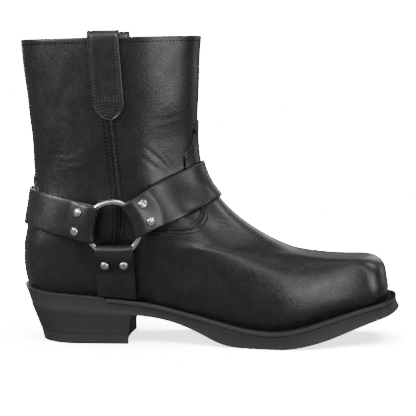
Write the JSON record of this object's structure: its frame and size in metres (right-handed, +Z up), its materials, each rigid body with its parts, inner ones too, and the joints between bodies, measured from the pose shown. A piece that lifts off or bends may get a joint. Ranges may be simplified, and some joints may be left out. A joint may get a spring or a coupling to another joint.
{
  "type": "harness boot",
  "caption": "Square-toed black leather harness boot, pull-on shaft with pull straps, a metal ring and riveted straps on each side, stacked heel and rubber sole.",
  "frame": {"origin": "middle of the boot's box in plan, on the floor that the boot stands on", "axes": "+X towards the toe, +Y towards the inner side of this right boot, +Z up"},
  "size_m": [0.3198, 0.1059, 0.2604],
  "materials": {
    "black_leather": "smooth full-grain black leather, soft satin shine",
    "strap_leather": "thick smooth black strap leather, waxed edges",
    "insole_leather": "plain brown insole leather, matt",
    "welt_leather": "black welt leather, satin",
    "sole_rubber": "matt black rubber",
    "heel_stack": "black dyed leather stack, dull satin",
    "nickel": "polished nickel plate"
  },
  "bodies": {
    "boot": {"upper": "black_leather", "vamp": "black_leather", "heel_counter": "black_leather", "insole": "insole_leather", "welt": "welt_leather", "outsole": "sole_rubber", "heel_block": "heel_stack", "heel_lift": "sole_rubber", "front_strap": "strap_leather", "rear_strap": "strap_leather", "bottom_strap_lateral": "strap_leather", "bottom_strap_medial": "strap_leather", "pull_strap_lateral": "strap_leather", "pull_strap_medial": "strap_leather", "side_seam_lateral": "black_leather", "side_seam_medial": "black_leather", "rivet_front_lateral_1": "nickel", "rivet_front_lateral_2": "nickel", "rivet_rear_lateral_1": "nickel", "rivet_rear_lateral_2": "nickel", "rivet_bottom_lateral_1": "nickel", "rivet_bottom_lateral_2": "nickel", "rivet_front_medial_1": "nickel", "rivet_front_medial_2": "nickel", "rivet_rear_medial_1": "nickel", "rivet_rear_medial_2": "nickel", "rivet_bottom_medial_1": "nickel", "rivet_bottom_medial_2": "nickel"},
    "lateral_ring": {"ring_lateral": "nickel"},
    "medial_ring": {"ring_medial": "nickel"}
  },
  "joints": [
    {"name": "lateral_ring_turn", "type": "hinge", "parent": "boot", "child": "lateral_ring", "pos_m": [-0.07781, -0.04532, 0.09867], "axis": [-0.0338, -0.9967, -0.0736], "continuous": true},
    {"name": "medial_ring_turn", "type": "hinge", "parent": "boot", "child": "medial_ring", "pos_m": [-0.07772, 0.04576, 0.09867], "axis": [-0.0239, 0.997, -0.0737], "continuous": true}
  ]
}
